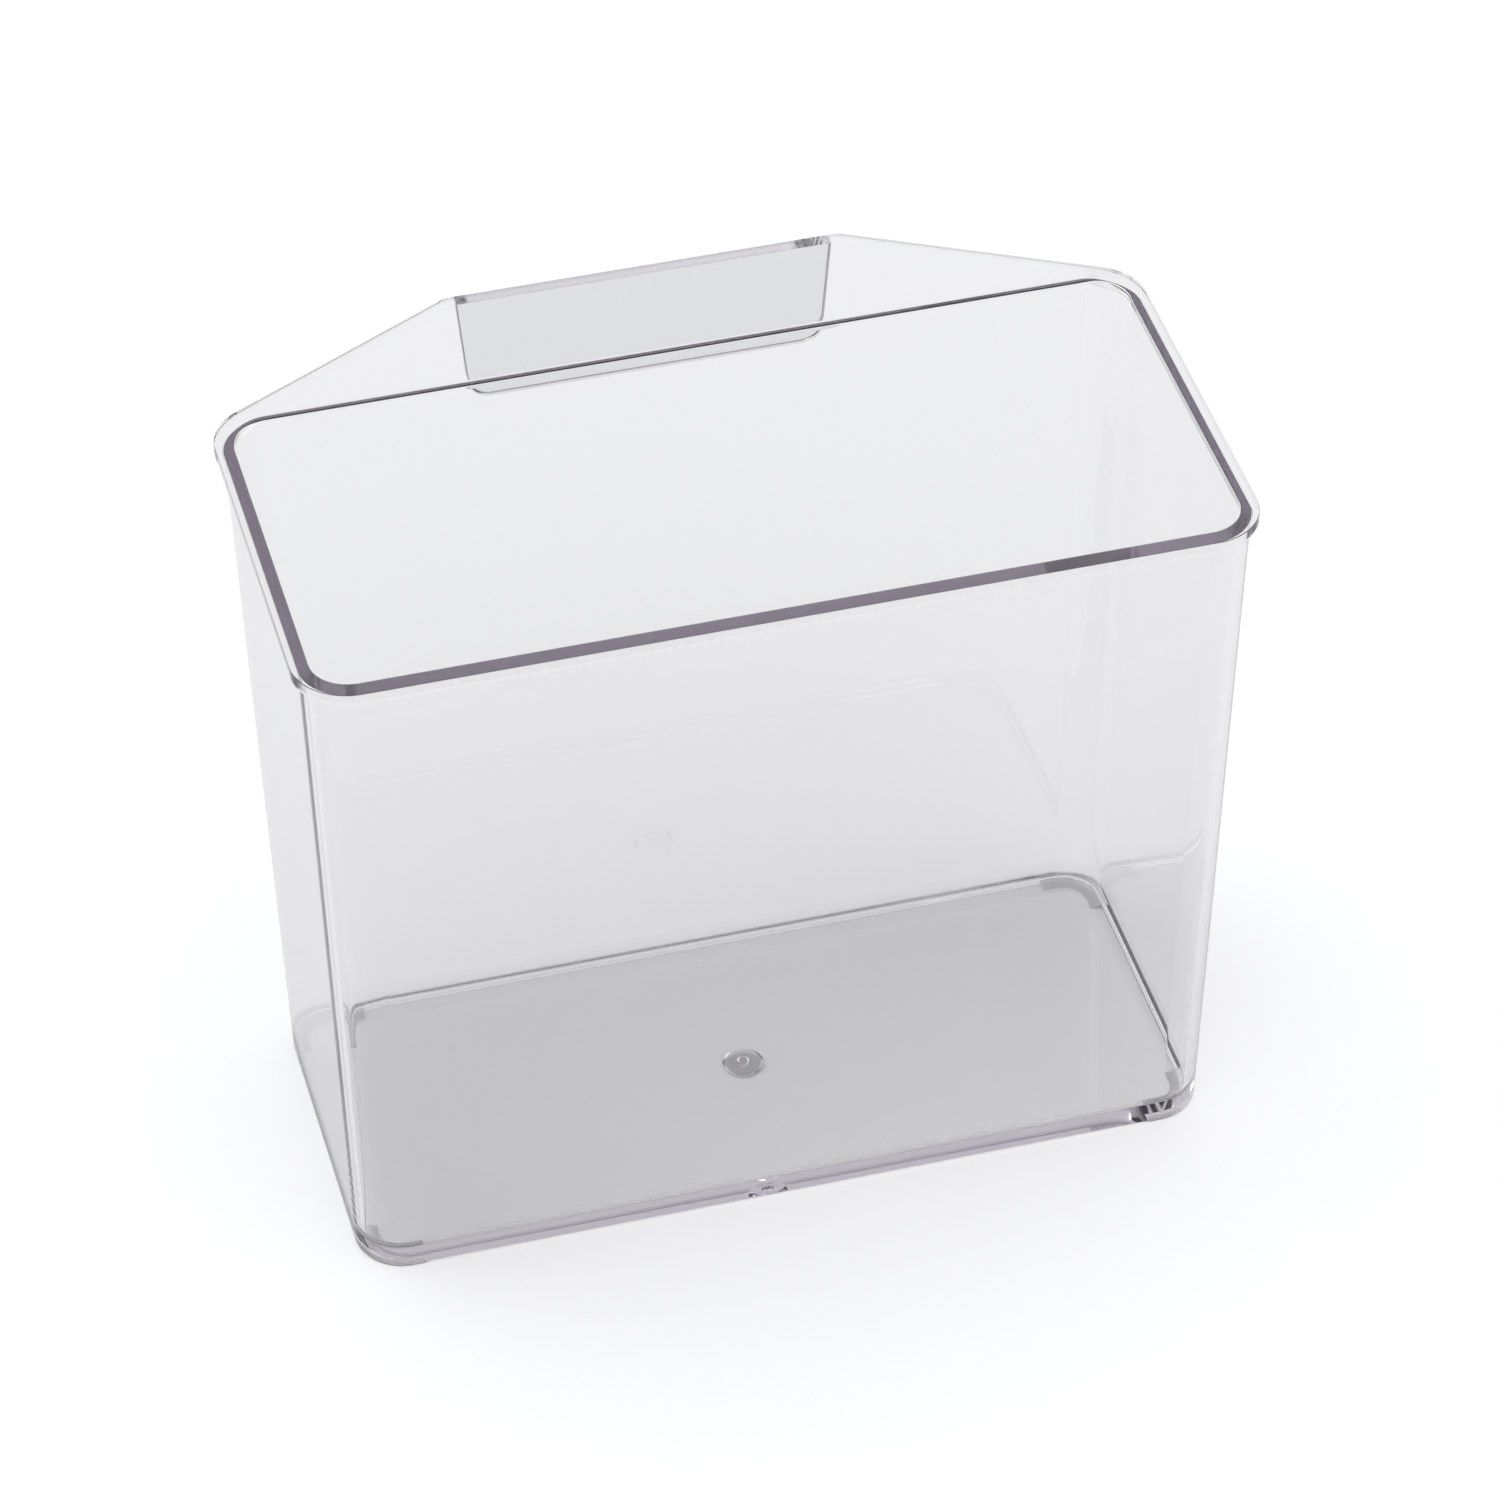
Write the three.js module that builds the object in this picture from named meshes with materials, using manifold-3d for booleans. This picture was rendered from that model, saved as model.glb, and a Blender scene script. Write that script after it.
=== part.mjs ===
// Clear hang-on specimen container, made in millimetres with +Z up.
// The real one is a single thin-walled injection moulding. Each moulded feature
// is a solid of its own here, and neighbours meet face to face on flat planes:
// floor, walls, lip, hanger shelf, hanger flap, four feet and the gate mark.
// The front is on the -Y side and the hanger reaches out behind, towards +Y.
import * as THREE from 'three';
import { mergeVertices } from 'three/addons/utils/BufferGeometryUtils.js';
import Module from 'manifold-3d';

const wasm = await Module();
wasm.setup();

// Mouth and base, both measured outside
const rimWidth = 190;
const rimDepth = 91;
const totalHeight = 156;
const baseWidth = 178;
const baseDepth = 79;

// Shell
const wallThickness = 2.2;
const floorThickness = 2.9;
const wallCornerRadius = 10;
const bottomEdgeRadius = 0.4;
const floorFilletRadius = 3;

// Lip round the mouth. Its rear corners are set further back than the front ones are
// forward, where the shelf's slanted sides leave them.
const lipOverhang = 1.5;
const lipThickness = 2.5;
const lipBackReach = 1.7;

// Hanger: a thin level shelf behind the mouth, with a flap down from its far edge
const hangerReach = 26;
const shelfThickness = 1.4;
const shelfFarWidth = 80;
const shelfFarRadius = 4;
const flapThickness = 2.2;
const flapShoulder = 1;
const flapTaper = 2;
const flapDrop = 24;
const flapCornerRadius = 5;

// Feet: a low crescent pad under each corner
const footHeight = 0.5;
const footRun = 12.7;
const footPadWidth = 4.5;

// Gate mark: the stub of the sprue, in a dimple under the middle of the floor
const dimpleRadius = 4.3;
const dimpleDepth = 1;
const dimpleDraft = 0.8;
const dimpleOverrun = 0.5;
const stubRadius = 1.1;
const stubHeight = 0.8;
const stubDraft = 0.25;

// How finely the round stretches are cut up
const cornerSteps = 12;
const filletSteps = 5;
const shelfCornerSteps = 4;
const flapCornerSteps = 8;
const gateSteps = 32;

// Heights and places that follow from the sizes above
const floorTop = footHeight + floorThickness;
const dimpleTop = footHeight + dimpleDepth;
const flapTopWidth = shelfFarWidth - 2 * flapShoulder;
const flapBottomWidth = flapTopWidth - 2 * flapTaper;
const lipUnderside = totalHeight - lipThickness;
const shelfUnderside = totalHeight - shelfThickness;
const lipCornerRadius = wallCornerRadius + lipOverhang;
const shelfFarY = rimDepth / 2 + hangerReach;

// The shelf's slanted side runs off the lip's rear corner and onto the rounded far
// corner, touching both arcs. This is its angle to the tub's back.
function slantAngle() {
  const lipCentre = new THREE.Vector2(
    rimWidth / 2 - lipCornerRadius, rimDepth / 2 - lipCornerRadius + lipBackReach);
  const farCentre = new THREE.Vector2(shelfFarWidth / 2, shelfFarY - shelfFarRadius);
  const across = lipCentre.x - farCentre.x;
  const along = farCentre.y - lipCentre.y;
  const tilt = Math.atan2(along, across);
  return tilt - Math.asin((lipCornerRadius - shelfFarRadius) / Math.hypot(across, along));
}
const slant = slantAngle();
const quarterTurn = Math.PI / 2;

// Share of the rear corner's steps that lie beside the shelf, up to where it leaves
// the lip
const joinStep = THREE.MathUtils.clamp(
  Math.round(cornerSteps * (1 - slant / quarterTurn)), 1, cornerSteps - 1);
const spareStep = cornerSteps - joinStep;

// Places in a ring of the points where the right and left slanted sides leave the lip
const joinRight = joinStep;
const joinLeft = cornerSteps + 1 + spareStep;

// Equal steps of a range, both ends included
function steps(from, to, count) {
  return Array.from({ length: count + 1 }, (_, i) => from + (to - from) * i / count);
}

// Angles of the four corner arcs, anticlockwise from the right rear corner. The two
// rear arcs have a point where the shelf's slanted side leaves the lip.
function cornerAngleLists() {
  const plain = (start) => steps(start, start + quarterTurn, cornerSteps);
  const rightJoin = quarterTurn - slant;
  const leftJoin = quarterTurn + slant;
  const rightRear = [...steps(0, rightJoin, joinStep),
    ...steps(rightJoin, quarterTurn, spareStep).slice(1)];
  const leftRear = [...steps(quarterTurn, leftJoin, spareStep),
    ...steps(leftJoin, 2 * quarterTurn, joinStep).slice(1)];
  return [rightRear, leftRear, plain(2 * quarterTurn), plain(3 * quarterTurn)];
}
const cornerAngles = cornerAngleLists();
const cornerSigns = [[1, 1], [-1, 1], [-1, -1], [1, -1]];

const seenFromAbove = (p) => new THREE.Vector2(p.x, p.y);

// One level ring: a rectangle with rounded corners, anticlockwise seen from above.
// Its rear corners can be set back by a reach.
function ring(width, depth, radius, z, backReach) {
  return cornerSigns.flatMap(([sx, sy], corner) => cornerAngles[corner].map((angle) => new THREE.Vector3(
    sx * (width / 2 - radius) + radius * Math.cos(angle),
    sy * (depth / 2 - radius) + radius * Math.sin(angle) + (sy > 0 ? backReach : 0),
    z)));
}

// The drafted wall's outside at a height, moved in by an inset
function wallRing(z, inset) {
  const rise = (z - footHeight) / (totalHeight - footHeight);
  const width = THREE.MathUtils.lerp(baseWidth, rimWidth - 2 * lipOverhang, rise);
  const depth = THREE.MathUtils.lerp(baseDepth, rimDepth - 2 * lipOverhang, rise);
  return ring(width - 2 * inset, depth - 2 * inset, wallCornerRadius - inset, z, 0);
}

// The lip's outline: out past the walls at the sides and the front, and flush with
// them along the shelf
function lipRing(z) {
  const flush = wallRing(totalHeight, 0);
  return ring(rimWidth, rimDepth, lipCornerRadius, z, lipBackReach).map((point, i) => (
    i > joinRight && i < joinLeft ? flush[i].setZ(z) : point));
}

// Skin over a row of level rings: capped at both ends, or as a loop with the last
// ring joined back to the first
const CAPPED = 'capped';
const LOOP = 'loop';
function loft(rings, ends) {
  const count = rings[0].length;
  const positions = rings.flat().flatMap((p) => [p.x, p.y, p.z]);
  const index = [];
  const bands = ends === LOOP ? rings.length : rings.length - 1;
  for (let band = 0; band < bands; band += 1) {
    const low = band * count;
    const high = ((band + 1) % rings.length) * count;
    for (let i = 0; i < count; i += 1) {
      const next = (i + 1) % count;
      index.push(low + i, low + next, high + next, low + i, high + next, high + i);
    }
  }
  if (ends === CAPPED) {
    const last = (rings.length - 1) * count;
    for (const [a, b, c] of THREE.ShapeUtils.triangulateShape(rings[0].map(seenFromAbove), [])) {
      index.push(c, b, a);
    }
    for (const [a, b, c] of THREE.ShapeUtils.triangulateShape(rings.at(-1).map(seenFromAbove), [])) {
      index.push(last + a, last + b, last + c);
    }
  }
  const geometry = new THREE.BufferGeometry();
  geometry.setAttribute('position', new THREE.Float32BufferAttribute(positions, 3));
  geometry.setIndex(index);
  return geometry;
}

// Plate of an even thickness, cut to an outline and lying level
function levelPlate(outline, thickness, underside) {
  const shape = new THREE.Shape(outline);
  const geometry = new THREE.ExtrudeGeometry(shape, { depth: thickness, bevelEnabled: false });
  geometry.translate(0, 0, underside);
  return positionsOnly(geometry);
}

// The same faces with shared corners and nothing but their places
function positionsOnly(geometry) {
  geometry.deleteAttribute('normal');
  geometry.deleteAttribute('uv');
  return mergeVertices(geometry);
}

// Profile of [radius, height] pairs, listed upwards, turned about the vertical axis
function turned(profile) {
  const points = profile.map(([radius, z]) => new THREE.Vector2(radius, z));
  const geometry = new THREE.LatheGeometry(points, gateSteps);
  geometry.rotateX(quarterTurn);
  return positionsOnly(geometry);
}

function asSolid(geometry) {
  return new wasm.Manifold(new wasm.Mesh({
    numProp: 3,
    vertProperties: geometry.attributes.position.array,
    triVerts: Uint32Array.from(geometry.index.array),
  }));
}

function asGeometry(solid) {
  const mesh = solid.getMesh();
  const geometry = new THREE.BufferGeometry();
  geometry.setAttribute('position', new THREE.BufferAttribute(mesh.vertProperties, 3));
  geometry.setIndex(new THREE.BufferAttribute(mesh.triVerts, 1));
  return geometry;
}

// Flat floor plate with a rounded edge and the gate's dimple underneath
function floorGeometry() {
  const edge = steps(0, quarterTurn, filletSteps).map((t) => wallRing(
    footHeight + bottomEdgeRadius * (1 - Math.cos(t)),
    bottomEdgeRadius * (1 - Math.sin(t))));
  const plate = loft([...edge, wallRing(floorTop, 0)], CAPPED);
  const dimple = turned([
    [0, footHeight - dimpleOverrun],
    [dimpleRadius, footHeight - dimpleOverrun],
    [dimpleRadius, footHeight],
    [dimpleRadius - dimpleDraft, dimpleTop],
    [0, dimpleTop],
  ]);
  return asGeometry(asSolid(plate).subtract(asSolid(dimple)));
}

// Four drafted walls in one band, from the lip down to the fillet that turns onto
// the floor
function wallsGeometry() {
  const fillet = steps(0, quarterTurn, filletSteps).map((t) => wallRing(
    floorTop + floorFilletRadius * (1 - Math.sin(t)),
    wallThickness + floorFilletRadius * (1 - Math.cos(t))));
  return loft([
    wallRing(floorTop, 0),
    wallRing(lipUnderside, 0),
    wallRing(lipUnderside, wallThickness),
    ...fillet,
  ], LOOP);
}

// The lip sits on the walls' top edge, and its rear stretch is their top
function lipGeometry() {
  return loft([
    lipRing(lipUnderside),
    lipRing(totalHeight),
    wallRing(totalHeight, wallThickness),
    wallRing(lipUnderside, wallThickness),
  ], LOOP);
}

// Arc as outline points
function arcPoints(x, y, radius, angles) {
  return angles.map((angle) => new THREE.Vector2(x + radius * Math.cos(angle), y + radius * Math.sin(angle)));
}

// Level shelf: its front follows the lip from one slant to the other, and a notch in
// its far edge takes the flap, which runs up to the top face
function shelfGeometry() {
  const lip = lipRing(totalHeight).map(seenFromAbove);
  const front = lip.slice(joinRight, joinLeft + 1).reverse();
  const farX = shelfFarWidth / 2;
  const farY = shelfFarY - shelfFarRadius;
  const rightCorner = arcPoints(farX, farY, shelfFarRadius,
    steps(quarterTurn - slant, quarterTurn, shelfCornerSteps));
  const leftCorner = arcPoints(-farX, farY, shelfFarRadius,
    steps(quarterTurn, quarterTurn + slant, shelfCornerSteps));
  const notch = [[1, 0], [1, flapThickness], [-1, flapThickness], [-1, 0]].map(([side, deep]) => (
    new THREE.Vector2(side * flapTopWidth / 2, shelfFarY - deep)));
  const outline = [...front, ...rightCorner, ...notch, ...leftCorner];
  return levelPlate(outline, shelfThickness, shelfUnderside);
}

// Flap: upright through the shelf, then narrower towards its foot, with both lower
// corners rounded
function flapGeometry() {
  const foot = totalHeight - flapDrop;
  const lean = Math.atan2(flapTaper, shelfUnderside - foot);
  // The rounding touches the foot and the leaning side.
  const centreX = flapBottomWidth / 2 - flapCornerRadius * (1 - Math.sin(lean)) / Math.cos(lean);
  const rightSide = [
    ...arcPoints(centreX, foot + flapCornerRadius, flapCornerRadius,
      steps(-quarterTurn, -lean, flapCornerSteps)),
    new THREE.Vector2(flapTopWidth / 2, shelfUnderside),
    new THREE.Vector2(flapTopWidth / 2, totalHeight),
  ];
  const innerY = shelfFarY - flapThickness;
  const rings = rightSide.map(({ x, y: z }) => [
    new THREE.Vector3(x, innerY, z),
    new THREE.Vector3(x, shelfFarY, z),
    new THREE.Vector3(-x, shelfFarY, z),
    new THREE.Vector3(-x, innerY, z),
  ]);
  return loft(rings, CAPPED);
}

// Foot: a pad of an even width that follows the underside's outline round one corner
function footGeometry(sx, sy) {
  const width = baseWidth - 2 * bottomEdgeRadius;
  const depth = baseDepth - 2 * bottomEdgeRadius;
  const radius = wallCornerRadius - bottomEdgeRadius;
  const x = width / 2 - radius;
  const y = depth / 2 - radius;
  const endX = baseWidth / 2 - footRun;
  const endY = baseDepth / 2 - footRun;
  const angles = steps(0, quarterTurn, cornerSteps);
  const outside = arcPoints(x, y, radius, angles);
  const inside = arcPoints(x, y, radius - footPadWidth, angles).reverse();
  const outline = [
    new THREE.Vector2(width / 2, endY),
    ...outside,
    new THREE.Vector2(endX, depth / 2),
    new THREE.Vector2(endX, depth / 2 - footPadWidth),
    ...inside,
    new THREE.Vector2(width / 2 - footPadWidth, endY),
  ];
  const placed = outline.map((p) => new THREE.Vector2(sx * p.x, sy * p.y));
  return levelPlate(sx * sy > 0 ? placed : placed.reverse(), footHeight, 0);
}

// Gate mark: the stub hangs from the dimple's ceiling and ends above the underside
function gateGeometry() {
  return turned([
    [0, dimpleTop - stubHeight],
    [stubRadius, dimpleTop - stubHeight],
    [stubRadius + stubDraft, dimpleTop],
    [0, dimpleTop],
  ]);
}

// Clear polished styrene with a faint violet cast, the same in every piece
function clearPlastic() {
  return new THREE.MeshStandardMaterial({
    color: 0xe9e8f0,
    roughness: 0.04,
    metalness: 0,
    transparent: true,
    opacity: 0.35,
    side: THREE.DoubleSide,
  });
}

const container = new THREE.Group();
function addPiece(name, geometry) {
  const piece = new THREE.Mesh(geometry, clearPlastic());
  piece.name = name;
  container.add(piece);
}

addPiece('tub_floor', floorGeometry());
addPiece('tub_walls', wallsGeometry());
addPiece('rim_lip', lipGeometry());
addPiece('hanger_shelf', shelfGeometry());
addPiece('hanger_flap', flapGeometry());
addPiece('foot_rear_right', footGeometry(1, 1));
addPiece('foot_rear_left', footGeometry(-1, 1));
addPiece('foot_front_left', footGeometry(-1, -1));
addPiece('foot_front_right', footGeometry(1, -1));
addPiece('gate_mark', gateGeometry());

// The origin is on the ground under the middle of the whole outline, hanger included.
container.position.set(0, -hangerReach / 2, 0);
export default container;
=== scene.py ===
# %% [markdown]
# # A clear hang-on specimen container
#
# The real object is one injection moulding of clear polystyrene: a tall drafted tub,
# a lip round its mouth, a level hanger shelf behind it and a flap that hangs from the
# shelf's far edge. This lesson builds it as ONE closed skin, because clear plastic
# shows every hidden seam: light that crosses a seam inside bends or goes grey there.
#
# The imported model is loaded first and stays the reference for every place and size.

# %% Load the frame
import math

import bmesh
import bpy
from mathutils import Matrix, Vector


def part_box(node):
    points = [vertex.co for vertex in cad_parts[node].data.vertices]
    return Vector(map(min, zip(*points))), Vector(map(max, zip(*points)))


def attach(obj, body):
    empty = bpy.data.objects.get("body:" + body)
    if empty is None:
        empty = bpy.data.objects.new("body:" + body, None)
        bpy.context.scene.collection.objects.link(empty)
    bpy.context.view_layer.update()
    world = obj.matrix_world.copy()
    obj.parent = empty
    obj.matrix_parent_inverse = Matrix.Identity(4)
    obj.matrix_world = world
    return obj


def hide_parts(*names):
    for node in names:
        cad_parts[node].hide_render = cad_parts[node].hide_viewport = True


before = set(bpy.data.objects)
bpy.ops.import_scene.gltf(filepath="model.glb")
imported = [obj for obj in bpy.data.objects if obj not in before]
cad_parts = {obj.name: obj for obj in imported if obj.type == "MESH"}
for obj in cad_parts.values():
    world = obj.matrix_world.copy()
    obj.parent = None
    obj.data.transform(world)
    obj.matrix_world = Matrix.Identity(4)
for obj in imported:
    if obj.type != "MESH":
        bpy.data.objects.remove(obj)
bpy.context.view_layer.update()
MM = 0.001
print("nodes:", sorted(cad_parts))

# %% [markdown]
# ## Sizes read from the frame
#
# Each node's box gives a few driving sizes, so the skin always follows the packed
# model. What a box can't tell, such as a wall's thickness or a corner's radius, is
# a named value in millimetres.

# %% Sizes of the moulding
floor_low, floor_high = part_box("tub_floor")
lip_low, lip_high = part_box("rim_lip")
shelf_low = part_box("hanger_shelf")[0]
flap_low, flap_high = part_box("hanger_flap")
stub_low, stub_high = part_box("gate_mark")
foot_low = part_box("foot_front_right")[0]

TUB_Y = (floor_low[1] + floor_high[1]) / 2
GROUND = foot_low[2]
FLOOR_UNDER = floor_low[2]
FLOOR_TOP = floor_high[2]
RIM_TOP = lip_high[2]
LIP_UNDER = lip_low[2]
SHELF_UNDER = shelf_low[2]
RIM_WIDTH = lip_high[0] - lip_low[0]
RIM_DEPTH = 2 * (TUB_Y - lip_low[1])
FAR_Y = flap_high[1]
FLAP_FOOT = flap_low[2]
FLAP_TOP_WIDTH = flap_high[0] - flap_low[0]
FLAP_THICKNESS = flap_high[1] - flap_low[1]
STUB_FOOT = stub_low[2]
STUB_TOP = stub_high[2]
STUB_TOP_RADIUS = stub_high[0]

BASE_WIDTH = 178 * MM
BASE_DEPTH = 79 * MM
WALL = 2.2 * MM
LIP_OVERHANG = 1.5 * MM
LIP_BACK_REACH = 1.7 * MM
CORNER_RADIUS = 10 * MM
FLOOR_FILLET = 3 * MM
SHELF_FAR_WIDTH = 80 * MM
SHELF_FAR_RADIUS = 4 * MM
FLAP_TAPER = 2 * MM
FLAP_CORNER_RADIUS = 5 * MM
FOOT_RUN = 12.7 * MM
FOOT_PAD_WIDTH = 4.5 * MM
BOTTOM_EDGE_RADIUS = 0.4 * MM
DIMPLE_RADIUS = 4.3 * MM
DIMPLE_DEPTH = 1 * MM
DIMPLE_DRAFT = 0.8 * MM
DIMPLE_BEND_DEPTH = 0.25 * MM
DIMPLE_BEND_DRAFT = 0.4 * MM
STUB_RADIUS = 1.1 * MM
print("mouth in mm:", round(RIM_WIDTH / MM, 1), "x", round(RIM_DEPTH / MM, 1))
print("shelf in mm:", round((RIM_TOP - SHELF_UNDER) / MM, 2), "thick")

# %% [markdown]
# ## How softly the edges turn
#
# A mould never gives a knife edge. Each edge here has a small radius, and the radius
# decides how wide the thin bright or dark line along that edge is. The outer edge of
# lip and shelf lies where the mould's halves part, so it is the sharpest.
#
# A bevel modifier could make them, but it can fail on joined meshes. So the radii are
# built into the profile itself, each as a short row of steps round a quarter circle.

# %% Edge radii and steps
LIP_EDGE_RADIUS = 0.15 * MM
MOUTH_EDGE_RADIUS = 0.5 * MM
LIP_ROOT_RADIUS = 0.4 * MM
FLAP_EDGE_RADIUS = 0.3 * MM
PAD_EDGE_RADIUS = 0.15 * MM
SUNK = 0.3 * MM
CORNER_STEPS = 24
EDGE_STEPS = 5
FILLET_STEPS = 10
ROUND_STEPS = 48
QUARTER = math.pi / 2
FULL_TURN = 4 * QUARTER


def steps(start, end, count):
    """Equal steps of a range, both ends included."""
    return [start + (end - start) * i / count for i in range(count + 1)]


def rounding(radius, count=EDGE_STEPS):
    """Steps round a quarter circle: how far each is past its start and short of its end.

    The first goes from 0 to the radius and the second from the radius to 0."""
    angles = steps(0, QUARTER, count)
    return [(radius * (1 - math.cos(a)), radius * (1 - math.sin(a))) for a in angles]


# %% [markdown]
# ## The outline of the mouth
#
# Seen from above, the lip and the shelf share one outline without a single inward
# corner: two round front corners, two rear corners that run off into the slanted
# sides of the shelf, and two small far corners. The slant touches the rear corner's
# arc and the far corner's arc, so its angle follows from the two circles. The lip's
# rear corners lie a little further back than the wall's own corners.

# %% Where the slanted side leaves the lip
LIP_RADIUS = CORNER_RADIUS + LIP_OVERHANG
FAR_CENTRE_X = SHELF_FAR_WIDTH / 2
FAR_CENTRE_Y = FAR_Y - TUB_Y - SHELF_FAR_RADIUS
across = RIM_WIDTH / 2 - LIP_RADIUS - FAR_CENTRE_X
along = FAR_CENTRE_Y - (RIM_DEPTH / 2 - LIP_RADIUS + LIP_BACK_REACH)
apart = math.hypot(across, along)
SLANT = math.atan2(along, across) - math.asin((LIP_RADIUS - SHELF_FAR_RADIUS) / apart)
JOIN = QUARTER - SLANT
JOIN_STEP = min(max(round(CORNER_STEPS * JOIN / QUARTER), 1), CORNER_STEPS - 1)
print("slant of the shelf's side in degrees:", round(math.degrees(SLANT), 2))

# %% [markdown]
# ## Rings with matching points
#
# The skin is a loft: a row of closed rings, joined band by band. That needs the same
# number of points in every ring, also where a tub ring simply turns its rear corner
# and the mouth's outline runs out round the shelf. So each ring is listed by the same
# stretches, and only the place of the stretches called ease and shelf differs.
#
# The lip is thick, because it stiffens the mouth, and the shelf is thin. The underside
# goes up from one to the other in a long smooth ramp, which starts a little before
# the lip's arc ends and runs on over the stretch called ease. A step there, or a steep
# ramp, would catch the light and show as a black cut in the clear plastic.
#
# Along a stretch an angle tells the place: 0 where the corner leaves the tub's side
# and a quarter turn where it reaches the rear or the front.

# %% Stretches of a ring
EASE_BEFORE = math.radians(20)
SHELF_EASE = math.radians(24)
EASE_STEPS = 8
EASE_STRETCH = 1.6


def corner_parts():
    """Signs, name and angles of each stretch, anticlockwise from the right rear corner."""
    lip = steps(0, JOIN, JOIN_STEP)
    ease = steps(JOIN, JOIN + SHELF_EASE, EASE_STEPS)[1:-1]
    shelf = steps(JOIN + SHELF_EASE, QUARTER, CORNER_STEPS - JOIN_STEP)
    front = steps(0, QUARTER, CORNER_STEPS)
    return [
        ((1, 1), "lip", lip),
        ((1, 1), "ease", ease),
        ((1, 1), "shelf", shelf),
        ((-1, 1), "shelf", shelf[::-1]),
        ((-1, 1), "ease", ease[::-1]),
        ((-1, 1), "lip", lip[::-1]),
        ((-1, -1), "lip", front),
        ((1, -1), "lip", front[::-1]),
    ]


# %% Rings
def ramp(a):
    """0 for the thick lip, 1 for the thin shelf, and a smooth rise from one to the other."""
    t = (a - JOIN + EASE_BEFORE) / (SHELF_EASE + EASE_BEFORE)
    t = min(max(t, 0), 1)
    return t * t * (3 - 2 * t)


def mouth_point(x, y, part, a, radius, inset):
    """A point of the outline behind the mouth, as far as it isn't on the lip's own arc."""
    if part == "ease":
        # A short way along the slanted side, from where it leaves the arc
        way = (a - JOIN) * radius * EASE_STRETCH
        px = x + radius * math.cos(JOIN) - way * math.sin(JOIN)
        py = y + radius * math.sin(JOIN) + way * math.cos(JOIN)
        return px, py
    a = JOIN + (a - JOIN - SHELF_EASE) * SLANT / (SLANT - SHELF_EASE)
    turn = SHELF_FAR_RADIUS - inset
    return FAR_CENTRE_X + turn * math.cos(a), FAR_CENTRE_Y + turn * math.sin(a)


def ring(width, depth, radius, z, shelf_lift, shelf_inset=None):
    """One ring, lifted along the shelf. With a shelf inset it runs out round the shelf."""
    points = []
    for (sx, sy), part, angles in corner_parts():
        at_shelf = shelf_inset is not None and sy > 0
        x = width / 2 - radius
        y = depth / 2 - radius + (LIP_BACK_REACH if at_shelf else 0)
        for a in angles:
            if at_shelf and part != "lip":
                px, py = mouth_point(x, y, part, a, radius, shelf_inset)
            else:
                px, py = x + radius * math.cos(a), y + radius * math.sin(a)
            lift = shelf_lift * ramp(a) if sy > 0 else 0
            points.append((sx * px, TUB_Y + sy * py, z + lift))
    return points


def wall_ring(z, inset, shelf_lift=0):
    """The drafted wall's outside at a height, moved in by an inset."""
    rise = (z - FLOOR_UNDER) / (RIM_TOP - FLOOR_UNDER)
    width = BASE_WIDTH + (RIM_WIDTH - 2 * LIP_OVERHANG - BASE_WIDTH) * rise
    depth = BASE_DEPTH + (RIM_DEPTH - 2 * LIP_OVERHANG - BASE_DEPTH) * rise
    return ring(width - 2 * inset, depth - 2 * inset, CORNER_RADIUS - inset, z, shelf_lift)


def mouth_ring(z, inset, shelf_lift=0):
    """The outline of lip and shelf together, moved in by an inset."""
    width = RIM_WIDTH - 2 * inset
    depth = RIM_DEPTH - 2 * inset
    return ring(width, depth, LIP_RADIUS - inset, z, shelf_lift, shelf_inset=inset)


# %% [markdown]
# ## A mesh from rings
#
# One helper turns a row of rings into a closed mesh with a flat face at each end. It
# works for the tub, for the flap and for the feet, so each of them only has to say
# what its rings are.


# %% Loft helper
SAME_POINT = 0.002 * MM


def loft(name, rings):
    """A closed mesh over a row of rings, capped at both ends."""
    mesh = bpy.data.meshes.new(name)
    bm = bmesh.new()
    rows = [[bm.verts.new(p) for p in points] for points in rings]
    count = len(rows[0])
    for low, high in zip(rows, rows[1:]):
        for i in range(count):
            j = (i + 1) % count
            bm.faces.new((low[i], low[j], high[j], high[i]))
    bm.faces.new(list(reversed(rows[0])))
    bm.faces.new(rows[-1])
    bmesh.ops.remove_doubles(bm, verts=bm.verts, dist=SAME_POINT)
    bmesh.ops.recalc_face_normals(bm, faces=bm.faces)
    bm.to_mesh(mesh)
    bm.free()
    made = bpy.data.objects.new(name, mesh)
    bpy.context.collection.objects.link(made)
    return made


# %% [markdown]
# ## The tub, its lip and the shelf
#
# The rings follow the moulding's section from the underside of the floor, up the
# outside, out under the lip, round the lip's edge, across the rim's flat top and down
# the inside to the floor. Where the lip's outline widens into the shelf, the very
# same rings make the shelf, so there is no joint to hide. Under the shelf the rings
# lie higher by SHELF_LIFT, which is how much thinner it is than the lip.

# %% Build the tub
SHELF_LIFT = SHELF_UNDER - LIP_UNDER
section = []
# Up the outside: the bottom edge, then the turn out under the lip
for past, short in rounding(BOTTOM_EDGE_RADIUS):
    section.append(wall_ring(FLOOR_UNDER + past, short))
for past, short in rounding(LIP_ROOT_RADIUS):
    section.append(wall_ring(LIP_UNDER - short, -past, SHELF_LIFT))
# Round the outer edge of lip and shelf
for past, short in rounding(LIP_EDGE_RADIUS):
    section.append(mouth_ring(LIP_UNDER + past, short, SHELF_LIFT))
for past, short in rounding(LIP_EDGE_RADIUS):
    section.append(mouth_ring(RIM_TOP - short, past))
# Down the inside: the mouth's edge, then the fillet onto the floor
for past, short in rounding(MOUTH_EDGE_RADIUS):
    section.append(wall_ring(RIM_TOP - past, WALL - short))
for past, short in rounding(FLOOR_FILLET, FILLET_STEPS):
    section.append(wall_ring(FLOOR_TOP + short, WALL + past))
moulding = loft("clear_moulding", section)
print("tub:", len(moulding.data.vertices), "points")

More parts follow.
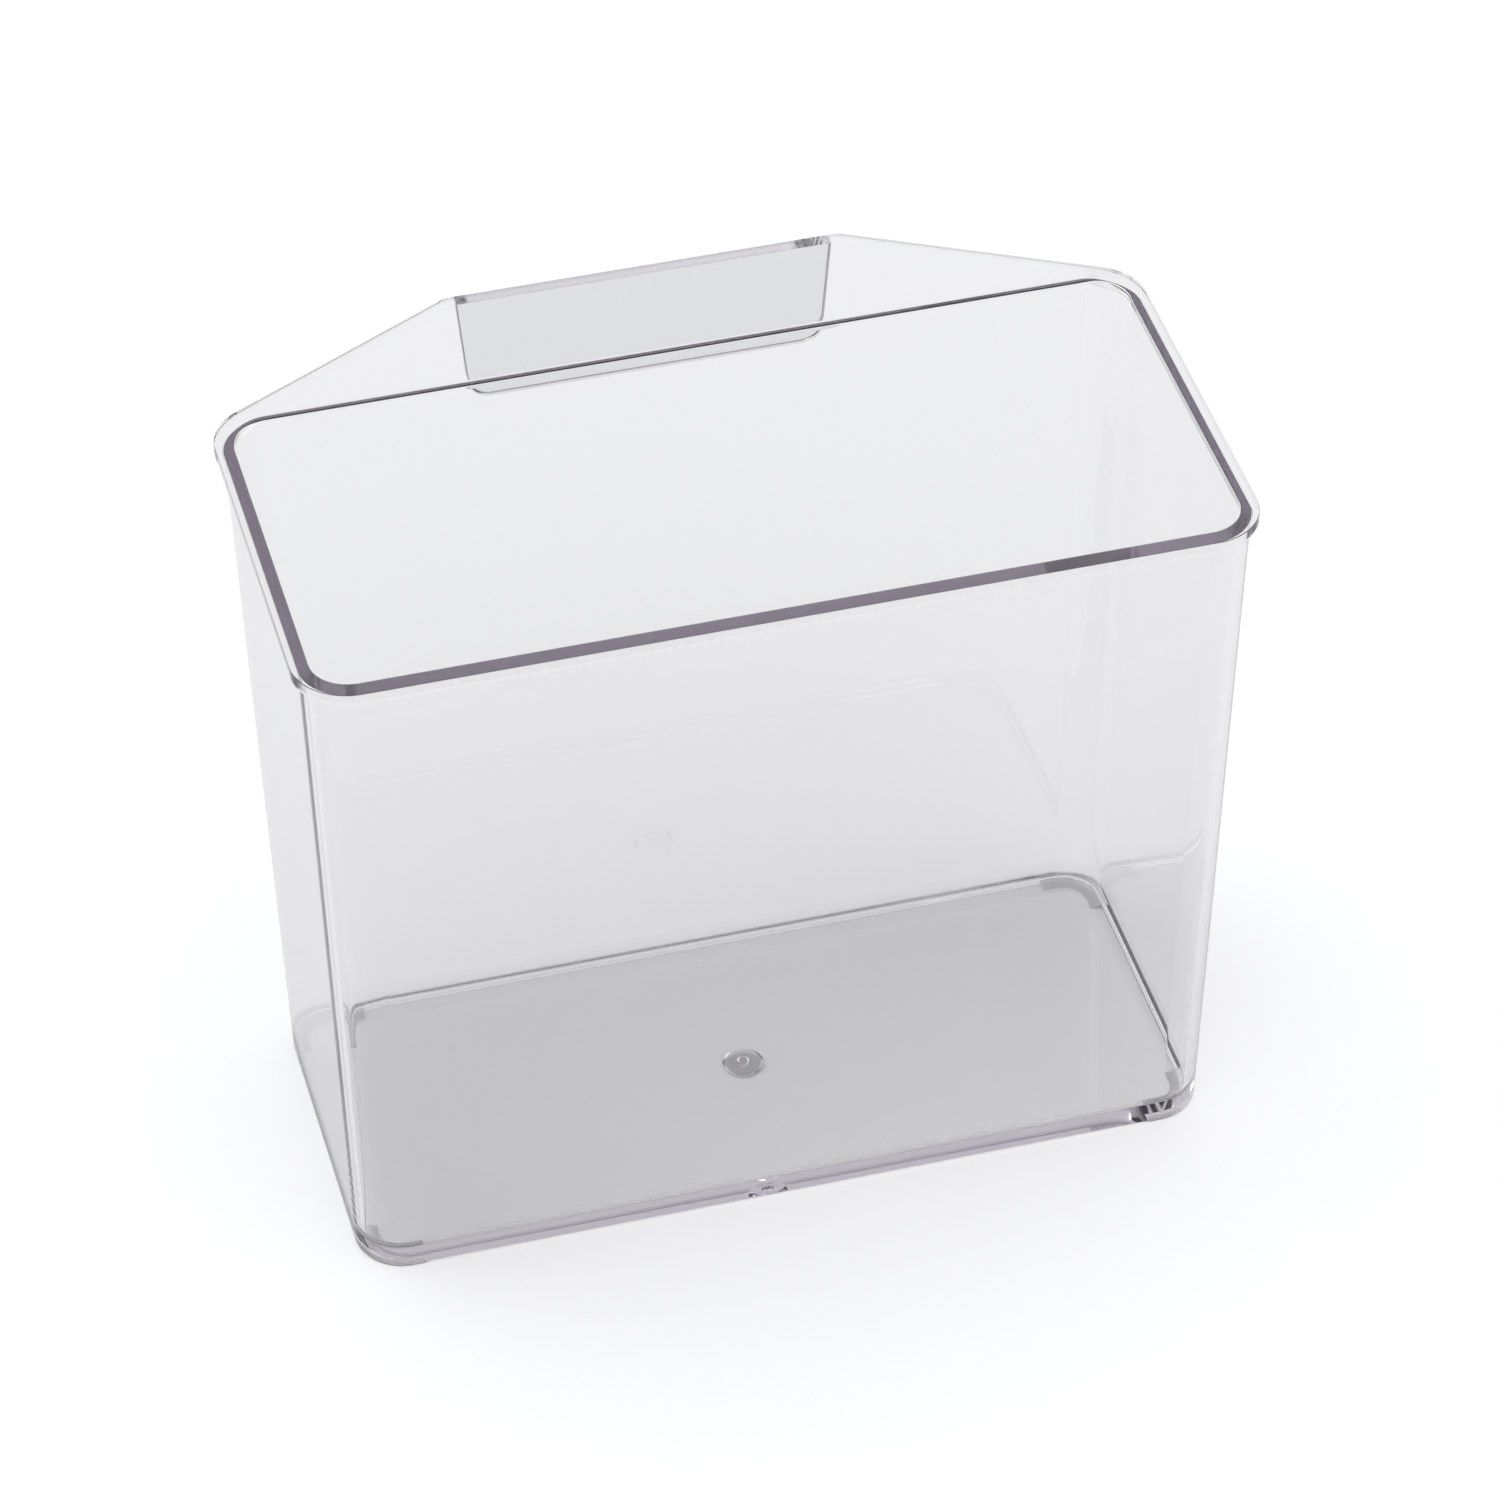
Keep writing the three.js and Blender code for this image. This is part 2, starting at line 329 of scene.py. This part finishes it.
# %% [markdown]
# ## The flap
#
# The flap hangs from the shelf's far edge and grips the outside of the tank's wall.
# Its outline narrows towards the foot and has two round lower corners. It is lofted
# from its inner to its outer face, with the first and last rings drawn in a little,
# which rounds its edges all the way along. Its top end stops inside the shelf.


# %% Build the flap
def flap_ring(y, inset):
    """The flap's outline at one depth, moved in by an inset, with its top inside the shelf."""
    top = RIM_TOP - 2 * SUNK
    reach = top - FLAP_FOOT
    lean = math.atan2(FLAP_TAPER, SHELF_UNDER - FLAP_FOOT)
    foot_half = FLAP_TOP_WIDTH / 2 - FLAP_TAPER
    centre_x = foot_half - FLAP_CORNER_RADIUS * (1 - math.sin(lean)) / math.cos(lean)
    centre_z = FLAP_FOOT + FLAP_CORNER_RADIUS
    turn = FLAP_CORNER_RADIUS - inset
    right = [(centre_x + turn * math.cos(a), centre_z + turn * math.sin(a))
             for a in steps(-QUARTER, -lean, CORNER_STEPS)]
    right.append((foot_half + reach * math.tan(lean) - inset / math.cos(lean), top))
    return [(x, y, z) for x, z in right] + [(-x, y, z) for x, z in reversed(right)]


STEP_BACK = 0.02 * MM
flap_inner_y = FAR_Y - FLAP_THICKNESS
flap_outer_y = FAR_Y - STEP_BACK
flap_edge = rounding(FLAP_EDGE_RADIUS)
flap_rings = [flap_ring(flap_inner_y + past, short) for past, short in flap_edge]
flap_rings += [flap_ring(flap_outer_y - short, past) for past, short in flap_edge]
flap = loft("flap_part", flap_rings)

# %% [markdown]
# ## The feet and the gate mark
#
# Under each corner lies a low crescent pad, which keeps the big flat underside off
# the table so that it isn't scratched. Under the middle of the floor is the place
# where the plastic entered the mould: a shallow dimple with the stub of the sprue in
# it, cut short of the underside.


# %% Build the feet
def foot_ring(sx, sy, z, inset):
    """Outline of one pad, which keeps an even width round the corner."""
    outer = CORNER_RADIUS - BOTTOM_EDGE_RADIUS
    x = BASE_WIDTH / 2 - CORNER_RADIUS
    y = BASE_DEPTH / 2 - CORNER_RADIUS
    end_x = BASE_WIDTH / 2 - FOOT_RUN + inset
    end_y = BASE_DEPTH / 2 - FOOT_RUN + inset
    angles = steps(0, QUARTER, CORNER_STEPS)
    out = outer - inset
    inner = outer - FOOT_PAD_WIDTH + inset
    points = [(x + out, end_y)]
    points += [(x + out * math.cos(a), y + out * math.sin(a)) for a in angles]
    points += [(end_x, y + out), (end_x, y + inner)]
    points += [(x + inner * math.cos(a), y + inner * math.sin(a)) for a in reversed(angles)]
    points.append((x + inner, end_y))
    return [(sx * px, TUB_Y + sy * py, z) for px, py in points]


def foot_pad(sx, sy):
    """One pad, sunk into the floor a little so that the two can be joined."""
    edge = rounding(PAD_EDGE_RADIUS)
    rings = [foot_ring(sx, sy, GROUND + past, short) for past, short in edge]
    rings.append(foot_ring(sx, sy, FLOOR_UNDER + SUNK, 0))
    return loft("foot_part", rings)


feet = [foot_pad(sx, sy) for sx in (1, -1) for sy in (1, -1)]
print("feet:", len(feet))


# %% Build the gate's dimple and stub
def round_ring(radius, z):
    """A level circle about the tub's middle."""
    return [(radius * math.cos(a), TUB_Y + radius * math.sin(a), z)
            for a in steps(0, FULL_TURN, ROUND_STEPS)[:-1]]


dimple_top = FLOOR_UNDER + DIMPLE_DEPTH
dimple = loft("dimple_cutter", [
    round_ring(DIMPLE_RADIUS, FLOOR_UNDER - SUNK),
    round_ring(DIMPLE_RADIUS, FLOOR_UNDER),
    round_ring(DIMPLE_RADIUS - DIMPLE_BEND_DRAFT, dimple_top - DIMPLE_BEND_DEPTH),
    round_ring(DIMPLE_RADIUS - DIMPLE_DRAFT, dimple_top),
])
stub = loft("stub_part", [
    round_ring(STUB_RADIUS - PAD_EDGE_RADIUS, STUB_FOOT),
    round_ring(STUB_RADIUS, STUB_FOOT + PAD_EDGE_RADIUS),
    round_ring(STUB_TOP_RADIUS, STUB_TOP),
    round_ring(STUB_TOP_RADIUS, STUB_TOP + SUNK),
])

# %% [markdown]
# ## One closed skin
#
# The boolean modifier joins the flap, the feet and the stub to the tub and cuts the
# dimple. It runs here, once, and the helper meshes are deleted, so what is left is
# a single mesh without a wall inside.


# %% Join the parts
def combine(target, other, operation):
    """Adds or cuts with the exact solver, then applies the result."""
    modifier = target.modifiers.new("combine", "BOOLEAN")
    modifier.operation = operation
    modifier.solver = "EXACT"
    modifier.object = other
    depsgraph = bpy.context.evaluated_depsgraph_get()
    mesh = bpy.data.meshes.new_from_object(target.evaluated_get(depsgraph))
    target.modifiers.clear()
    target.data = mesh
    bpy.data.objects.remove(other, do_unlink=True)


combine(moulding, dimple, "DIFFERENCE")
for part in [flap, stub, *feet]:
    combine(moulding, part, "UNION")


def open_edges(mesh):
    """How many edges don't lie between exactly two faces."""
    bm = bmesh.new()
    bm.from_mesh(mesh)
    count = sum(1 for edge in bm.edges if len(edge.link_faces) != 2)
    bm.free()
    return count


print("joined:", len(moulding.data.polygons), "faces, open edges:", open_edges(moulding.data))

# %% [markdown]
# ## Smooth rounds and flat planes
#
# Smooth shading alone would bend the light on the big flat walls too, as if each were
# a lens. The weighted normal modifier gives every shared point the direction of its
# largest face, so the planes stay true and only the rounds are blended.

# %% Shading
SMOOTH_LIMIT = math.radians(40)
LARGEST_FACE_ONLY = 100
moulding.data.polygons.foreach_set("use_smooth", [True] * len(moulding.data.polygons))
moulding.data.set_sharp_from_angle(angle=SMOOTH_LIMIT)
weighted = moulding.modifiers.new("true_planes", "WEIGHTED_NORMAL")
weighted.mode = "FACE_AREA"
weighted.weight = LARGEST_FACE_ONLY
weighted.keep_sharp = True

# %% [markdown]
# ## Clear polystyrene
#
# The plastic is glass-like with a high refractive index, about 1.59. What makes it
# look like styrene and not like air is the faint violet-grey of its thickness: light
# that crosses a wall hardly changes, but light that is trapped in the rim or in the
# floor plate travels centimetres and comes out grey. So the colour is set where it
# belongs, in the volume, and the surface itself stays colourless, but for the flap's
# two faces, which carry a grey tint as painted shade.
#
# The surface isn't perfect either. A mould's polish and handling leave very slight
# haze in patches and a faint waviness, made here from two noises of different size.

# %% Material helpers
def empty_material(name):
    """A new material without nodes but its output."""
    material = bpy.data.materials.new(name)
    material.use_nodes = True
    nodes = material.node_tree.nodes
    nodes.clear()
    output = nodes.new("ShaderNodeOutputMaterial")
    return material, nodes, material.node_tree.links, output


def noise(nodes, links, place, scale, detail):
    """A noise texture that stays with the object."""
    texture = nodes.new("ShaderNodeTexNoise")
    texture.inputs["Scale"].default_value = scale
    texture.inputs["Detail"].default_value = detail
    links.new(place.outputs["Object"], texture.inputs["Vector"])
    return texture


# %% Haze and waves
HAZE_PER_METRE = 38
HAZE_DETAIL = 5
HAZE_ROUGHNESS = 0.6
HAZE_CLEAR_BELOW = 0.35
HAZE_FULL_ABOVE = 0.75
WAVE_DETAIL = 1.5
WAVE_STRENGTH = 0.5


def patchy_haze(nodes, links, place, rough_low, rough_high):
    """A roughness that changes in patches between two values."""
    haze = noise(nodes, links, place, HAZE_PER_METRE, HAZE_DETAIL)
    haze.inputs["Roughness"].default_value = HAZE_ROUGHNESS
    haze_range = nodes.new("ShaderNodeMapRange")
    haze_range.inputs["From Min"].default_value = HAZE_CLEAR_BELOW
    haze_range.inputs["From Max"].default_value = HAZE_FULL_ABOVE
    haze_range.inputs["To Min"].default_value = rough_low
    haze_range.inputs["To Max"].default_value = rough_high
    links.new(haze.outputs["Fac"], haze_range.inputs["Value"])
    return haze_range.outputs["Result"]


def waviness(nodes, links, place, wave_height, waves_per_metre):
    """A normal that leans this way and that, as on a surface with low waves."""
    waves = noise(nodes, links, place, waves_per_metre, WAVE_DETAIL)
    bump = nodes.new("ShaderNodeBump")
    bump.inputs["Strength"].default_value = WAVE_STRENGTH
    bump.inputs["Distance"].default_value = wave_height
    links.new(waves.outputs["Fac"], bump.inputs["Height"])
    return bump.outputs["Normal"]


# %% Plastic
STYRENE_IOR = 1.59
ABSORPTION_COLOR = (0.935, 0.926, 0.941, 1)
ABSORPTION_DENSITY = 100
SHADOW_TINT = (0.855, 0.855, 0.845, 1)
COLOURLESS = (1, 1, 1, 1)


def plastic_surface(name, rough_low, rough_high, wave_height, waves_per_metre, tint):
    """Clear plastic with patchy haze and waviness, and lamps' light passing through."""
    material, nodes, links, output = empty_material(name)
    place = nodes.new("ShaderNodeTexCoord")
    surface = nodes.new("ShaderNodeBsdfPrincipled")
    # The tint is colourless except on the flap's faces, where its grey is painted shade.
    surface.inputs["Base Color"].default_value = tint
    surface.inputs["Transmission Weight"].default_value = 1
    surface.inputs["IOR"].default_value = STYRENE_IOR
    roughness = patchy_haze(nodes, links, place, rough_low, rough_high)
    links.new(roughness, surface.inputs["Roughness"])
    normal = waviness(nodes, links, place, wave_height, waves_per_metre)
    links.new(normal, surface.inputs["Normal"])

    # Lamps' light goes through thin clear plastic almost unbent, so shadow rays do.
    clear = nodes.new("ShaderNodeBsdfTransparent")
    clear.inputs["Color"].default_value = SHADOW_TINT
    path = nodes.new("ShaderNodeLightPath")
    mix = nodes.new("ShaderNodeMixShader")
    links.new(path.outputs["Is Shadow Ray"], mix.inputs["Fac"])
    links.new(surface.outputs["BSDF"], mix.inputs[1])
    links.new(clear.outputs["BSDF"], mix.inputs[2])
    links.new(mix.outputs["Shader"], output.inputs["Surface"])

    volume = nodes.new("ShaderNodeVolumeAbsorption")
    volume.inputs["Color"].default_value = ABSORPTION_COLOR
    volume.inputs["Density"].default_value = ABSORPTION_DENSITY
    links.new(volume.outputs["Volume"], output.inputs["Volume"])
    return material


# %% Four finishes of the same plastic
# A grey tint for the flap's faces: painted shade, which makes the clear flap look darker than
# the shelf.
FLAP_PAINTED_SHADE_TINT = (0.84, 0.845, 0.845, 1)
LONG_WAVES = 55
SHORT_WAVES = 600
# Name, lowest and highest roughness, height of the waves, waves in a metre, tint
FINISH_TABLE = [
    ("clear_styrene_polished", 0.0, 0.03, 0.004 * MM, LONG_WAVES, COLOURLESS),
    ("clear_styrene_torn", 0.0, 0.08, 0.09 * MM, SHORT_WAVES, COLOURLESS),
    # The satin row's grey tint is painted shade on the flap.
    ("clear_styrene_satin_painted_shade", 0.05, 0.1, 0.01 * MM, LONG_WAVES, FLAP_PAINTED_SHADE_TINT),
    ("clear_styrene_frosted", 0.45, 0.6, 0.01 * MM, LONG_WAVES, COLOURLESS),
]
finishes = [plastic_surface(*values) for values in FINISH_TABLE]
POLISHED, TORN, SATIN_PAINTED_SHADE, FROSTED = range(len(finishes))
moulding.data.materials.clear()
for finish in finishes:
    moulding.data.materials.append(finish)

# %% [markdown]
# ## Where the finish changes
#
# At the gate the plastic was torn off, and the dimple round it is never polished, so
# it glitters where the rest of the underside is clear. The feet are frosted, as the
# mould leaves them, and show as light bars. The two faces of the flap have a satin
# finish and a grey tint, painted shade that makes the flap a little greyer than the
# shelf in front of it. Each face of the mesh takes its finish by where it lies and
# which way it looks.

# %% Give the faces their finish
FACING = 0.9
HAIR = 0.01 * MM
counts = [0] * len(finishes)
for face in moulding.data.polygons:
    spot = face.center
    in_dimple = (math.hypot(spot.x, spot.y - TUB_Y) < DIMPLE_RADIUS + HAIR
                 and FLOOR_UNDER + HAIR < spot.z < dimple_top + HAIR)
    on_flap = flap_inner_y - SUNK < spot.y and spot.z < SHELF_UNDER
    if in_dimple:
        face.material_index = TORN
    # The flap's faces get the satin finish, whose grey tint is painted shade.
    elif on_flap and abs(face.normal.y) > FACING:
        face.material_index = SATIN_PAINTED_SHADE
    elif spot.z < FLOOR_UNDER - HAIR:
        face.material_index = FROSTED
    else:
        face.material_index = POLISHED
    counts[face.material_index] += 1
print("polished, torn, satin and frosted faces:", counts)

# %% Tie the skin to the frame
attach(moulding, "root")
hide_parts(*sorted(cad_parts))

# %% [markdown]
# ## Floor and surroundings
#
# The object stands on a plain white floor. Clear plastic shows nothing but what is
# behind and round it, so the surroundings are as much a part of its look as its own
# material: white below and at the horizon, and darker overhead, where the dim room is.
# The dim part is what draws the thin grey lines along the edges.

# %% Floor
FLOOR_HALF = 3.0
PAPER = (0.79, 0.797, 0.81, 1)
FLOOR_CAMERA_GLOW = 0.26
FLOOR_SEEN_THROUGH_GLOW = 0.08


def white_floor():
    """A large level sheet just under the feet."""
    mesh = bpy.data.meshes.new("studio_floor")
    corners = [(-1, -1), (1, -1), (1, 1), (-1, 1)]
    points = [(x * FLOOR_HALF, y * FLOOR_HALF, GROUND - HAIR) for x, y in corners]
    mesh.from_pydata(points, [], [(0, 1, 2, 3)])
    sheet = bpy.data.objects.new("studio_floor", mesh)
    bpy.context.collection.objects.link(sheet)
    return sheet


def in_plastic_rays(nodes, links, path):
    """1 for rays that gloss or clear plastic sends on, else 0."""
    either = nodes.new("ShaderNodeMath")
    either.operation = "MAXIMUM"
    links.new(path.outputs["Is Glossy Ray"], either.inputs[0])
    links.new(path.outputs["Is Transmission Ray"], either.inputs[1])
    return either.outputs["Value"]


def floor_material():
    """White paper that is lit by the lamps and glows a little for the eye."""
    material, nodes, links, output = empty_material("white_paper")
    paper = nodes.new("ShaderNodeBsdfDiffuse")
    paper.inputs["Color"].default_value = PAPER
    glow = nodes.new("ShaderNodeEmission")
    path = nodes.new("ShaderNodeLightPath")
    through = nodes.new("ShaderNodeMath")
    through.operation = "MULTIPLY"
    through.inputs[1].default_value = FLOOR_SEEN_THROUGH_GLOW
    links.new(in_plastic_rays(nodes, links, path), through.inputs[0])
    strength = nodes.new("ShaderNodeMath")
    strength.operation = "MULTIPLY_ADD"
    strength.inputs[1].default_value = FLOOR_CAMERA_GLOW
    links.new(path.outputs["Is Camera Ray"], strength.inputs[0])
    links.new(through.outputs["Value"], strength.inputs[2])
    links.new(strength.outputs["Value"], glow.inputs["Strength"])
    add = nodes.new("ShaderNodeAddShader")
    links.new(paper.outputs["BSDF"], add.inputs[0])
    links.new(glow.outputs["Emission"], add.inputs[1])
    links.new(add.outputs["Shader"], output.inputs["Surface"])
    return material


floor = white_floor()
floor.data.materials.append(floor_material())

# %% World
WORLD_BRIGHT = 0.88
WORLD_DIM = 0.55
WORLD_FILL = 0.80
DIM_CENTRE = (0, -0.7071, 0.7071)
DIM_EDGE = math.radians(75)
DIM_CORE = math.radians(25)


def set_world():
    """White for the camera. Seen in or through plastic: white, but dim on the camera's side."""
    world = bpy.data.worlds.new("studio_world")
    bpy.context.scene.world = world
    world.use_nodes = True
    nodes = world.node_tree.nodes
    links = world.node_tree.links
    nodes.clear()
    output = nodes.new("ShaderNodeOutputWorld")
    direction = nodes.new("ShaderNodeTexCoord")
    towards_dim = nodes.new("ShaderNodeVectorMath")
    towards_dim.operation = "DOT_PRODUCT"
    towards_dim.inputs[1].default_value = DIM_CENTRE
    links.new(direction.outputs["Generated"], towards_dim.inputs[0])
    fade = nodes.new("ShaderNodeMapRange")
    fade.interpolation_type = "SMOOTHSTEP"
    fade.inputs["From Min"].default_value = math.cos(DIM_EDGE)
    fade.inputs["From Max"].default_value = math.cos(DIM_CORE)
    fade.inputs["To Min"].default_value = WORLD_BRIGHT
    fade.inputs["To Max"].default_value = WORLD_DIM
    links.new(towards_dim.outputs["Value"], fade.inputs["Value"])
    path = nodes.new("ShaderNodeLightPath")
    in_plastic = nodes.new("ShaderNodeMix")
    in_plastic.data_type = "FLOAT"
    in_plastic.inputs["A"].default_value = WORLD_FILL
    links.new(in_plastic_rays(nodes, links, path), in_plastic.inputs["Factor"])
    links.new(fade.outputs["Result"], in_plastic.inputs["B"])
    to_camera = nodes.new("ShaderNodeMix")
    to_camera.data_type = "FLOAT"
    to_camera.inputs["B"].default_value = 1
    links.new(path.outputs["Is Camera Ray"], to_camera.inputs["Factor"])
    links.new(in_plastic.outputs["Result"], to_camera.inputs["A"])
    background = nodes.new("ShaderNodeBackground")
    links.new(to_camera.outputs["Result"], background.inputs["Strength"])
    links.new(background.outputs["Background"], output.inputs["Surface"])
    return background


WHITE_WORLD = (1, 1, 1, 1)
set_world().inputs["Color"].default_value = WHITE_WORLD

# %% [markdown]
# ## The lamp
#
# One soft sun, as wide as a large diffuser, stands high on the left behind the object.
# A sun lights the whole floor evenly, so the floor stays white up to its edge, and it
# gives the faint shadow a direction. The world fills in the rest.

# %% Add the lamp
SUN_FROM = Vector((-0.5, 0.35, 1))
SUN_STRENGTH = 0.8
SUN_WIDTH = math.radians(40)

sun_data = bpy.data.lights.new("soft_sun", "SUN")
sun_data.energy = SUN_STRENGTH
sun_data.angle = SUN_WIDTH
sun = bpy.data.objects.new("soft_sun", sun_data)
sun.rotation_euler = (-SUN_FROM).to_track_quat("-Z", "Y").to_euler()
bpy.context.collection.objects.link(sun)

# %% [markdown]
# ## Camera
#
# A long lens from a good metre away, about 40 degrees above the floor and 15 degrees
# round to the left, turned a little about its own axis. The values were solved from
# the edges of the moulding, so the render lies on the photograph.

# %% Place the camera
SENSOR = 36
IMAGE_SIZE = 1500
FOCAL_PIXELS = 6502.32
YAW = math.radians(14.64)
PITCH = math.radians(40.235)
ROLL = math.radians(-0.674)
DISTANCE = 1315.6 * MM
LOOK_HEIGHT = 65 * MM
SIDEWAYS = 2.327 * MM
UPWARDS = 16.276 * MM
CLIP_START = 50 * MM

level_run = math.cos(PITCH)
forward = Vector((math.sin(YAW) * level_run, math.cos(YAW) * level_run, -math.sin(PITCH)))
level = Vector((math.cos(YAW), -math.sin(YAW), 0))
upright = level.cross(forward)
right = math.cos(ROLL) * level + math.sin(ROLL) * upright
up = -math.sin(ROLL) * level + math.cos(ROLL) * upright
place = Vector((0, TUB_Y, LOOK_HEIGHT)) - forward * DISTANCE + right * SIDEWAYS + up * UPWARDS

camera_data = bpy.data.cameras.new("photo_camera")
camera_data.sensor_width = SENSOR
camera_data.lens = FOCAL_PIXELS / IMAGE_SIZE * SENSOR
camera_data.clip_start = CLIP_START
camera = bpy.data.objects.new("photo_camera", camera_data)
turn = Matrix((right, up, -forward)).transposed()
camera.matrix_world = Matrix.Translation(place) @ turn.to_4x4()
bpy.context.collection.objects.link(camera)
bpy.context.scene.camera = camera
print("lens in mm:", round(camera_data.lens, 2))

# %% [markdown]
# ## Light paths
#
# Light that is trapped in the rim is reflected dozens of times before it leaves. With
# the usual limit of 12 it would simply stop there and leave black patches, so the
# limits go up.

# %% Render limits
scene = bpy.context.scene
LONG_PATH = 64
scene.cycles.max_bounces = LONG_PATH
scene.cycles.transmission_bounces = LONG_PATH
scene.cycles.glossy_bounces = LONG_PATH
scene.cycles.transparent_max_bounces = LONG_PATH
scene.view_settings.view_transform = "Standard"
